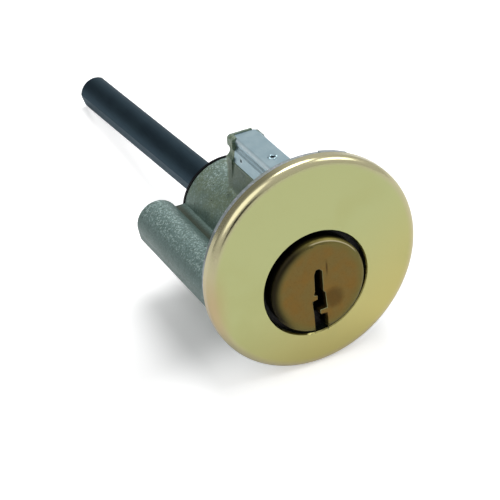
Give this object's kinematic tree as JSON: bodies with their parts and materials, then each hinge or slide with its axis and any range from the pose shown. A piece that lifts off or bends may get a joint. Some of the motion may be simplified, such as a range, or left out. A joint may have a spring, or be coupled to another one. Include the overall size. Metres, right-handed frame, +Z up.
{
  "type": "deadbolt cylinder",
  "caption": "Pin tumbler cylinder for a tubular deadbolt: brass face, turning plug with keyway, sprung pin stacks, two screw posts and a loose D-shaped torque blade.",
  "frame": {"origin": "on the plug's axis, in the back face of the flange, where it seats round the door's bore", "axes": "+Y along the plug's axis from the keyhole into the door, +Z up towards the pin stacks, +X to the right seen from the keyhole"},
  "size_m": [0.038, 0.0934, 0.038],
  "materials": {
    "zinc_casting": "raw zinc die casting, matt with fine sparkle",
    "satin_brass": "satin brass under clear lacquer",
    "worn_brass": "tarnished brass, polished at its edges",
    "bright_sheet": "bright rolled sheet, satin",
    "black_steel": "black oxide spring steel",
    "blued_steel": "blue-black oxide, satin",
    "pin_brass": "turned brass",
    "pin_steel": "turned nickel silver",
    "spring_wire": "bright spring wire"
  },
  "bodies": {
    "housing": {"housing": "zinc_casting", "trim_face": "satin_brass", "spring_cover": "bright_sheet", "spring_1": "spring_wire", "spring_2": "spring_wire", "spring_3": "spring_wire", "spring_4": "spring_wire", "spring_5": "spring_wire"},
    "plug": {"plug": "worn_brass", "rear_retainer": "black_steel", "cross_pin": "pin_steel"},
    "torque_blade": {"torque_blade": "blued_steel"},
    "bottom_pin_1": {"bottom_pin_1": "pin_brass"},
    "bottom_pin_2": {"bottom_pin_2": "pin_brass"},
    "bottom_pin_3": {"bottom_pin_3": "pin_brass"},
    "bottom_pin_4": {"bottom_pin_4": "pin_brass"},
    "bottom_pin_5": {"bottom_pin_5": "pin_brass"},
    "driver_pin_1": {"driver_pin_1": "pin_steel"},
    "driver_pin_2": {"driver_pin_2": "pin_steel"},
    "driver_pin_3": {"driver_pin_3": "pin_steel"},
    "driver_pin_4": {"driver_pin_4": "pin_steel"},
    "driver_pin_5": {"driver_pin_5": "pin_steel"}
  },
  "joints": [
    {"name": "plug_turn", "type": "hinge", "parent": "housing", "child": "plug", "pos_m": [0, 0, 0], "axis": [0, 1, 0], "continuous": true},
    {"name": "blade_turn", "type": "hinge", "parent": "plug", "child": "torque_blade", "pos_m": [0, 0.0283, 0], "axis": [0, 0.9975, -0.0706], "range_deg": [-81.3, 8.7]},
    {"name": "bottom_pin_1_drop", "type": "slide", "parent": "plug", "child": "bottom_pin_1", "axis": [0, 0, 1], "range_m": [-0.0033, 0]},
    {"name": "bottom_pin_2_drop", "type": "slide", "parent": "plug", "child": "bottom_pin_2", "axis": [0, 0, 1], "range_m": [-0.00213, 0]},
    {"name": "bottom_pin_3_drop", "type": "slide", "parent": "plug", "child": "bottom_pin_3", "axis": [0, 0, 1], "range_m": [-0.00388, 0]},
    {"name": "bottom_pin_4_drop", "type": "slide", "parent": "plug", "child": "bottom_pin_4", "axis": [0, 0, 1], "range_m": [-0.00155, 0]},
    {"name": "bottom_pin_5_drop", "type": "slide", "parent": "plug", "child": "bottom_pin_5", "axis": [0, 0, 1], "range_m": [-0.00271, 0]},
    {"name": "driver_pin_1_lift", "type": "slide", "parent": "housing", "child": "driver_pin_1", "axis": [0, 0, 1], "range_m": [0, 0.003], "stiffness_N_per_m": 300, "springref_m": -0.003, "deforming": ["spring_1"]},
    {"name": "driver_pin_2_lift", "type": "slide", "parent": "housing", "child": "driver_pin_2", "axis": [0, 0, 1], "range_m": [0, 0.003], "stiffness_N_per_m": 300, "springref_m": -0.003, "deforming": ["spring_2"]},
    {"name": "driver_pin_3_lift", "type": "slide", "parent": "housing", "child": "driver_pin_3", "axis": [0, 0, 1], "range_m": [0, 0.003], "stiffness_N_per_m": 300, "springref_m": -0.003, "deforming": ["spring_3"]},
    {"name": "driver_pin_4_lift", "type": "slide", "parent": "housing", "child": "driver_pin_4", "axis": [0, 0, 1], "range_m": [0, 0.003], "stiffness_N_per_m": 300, "springref_m": -0.003, "deforming": ["spring_4"]},
    {"name": "driver_pin_5_lift", "type": "slide", "parent": "housing", "child": "driver_pin_5", "axis": [0, 0, 1], "range_m": [0, 0.003], "stiffness_N_per_m": 300, "springref_m": -0.003, "deforming": ["spring_5"]}
  ]
}
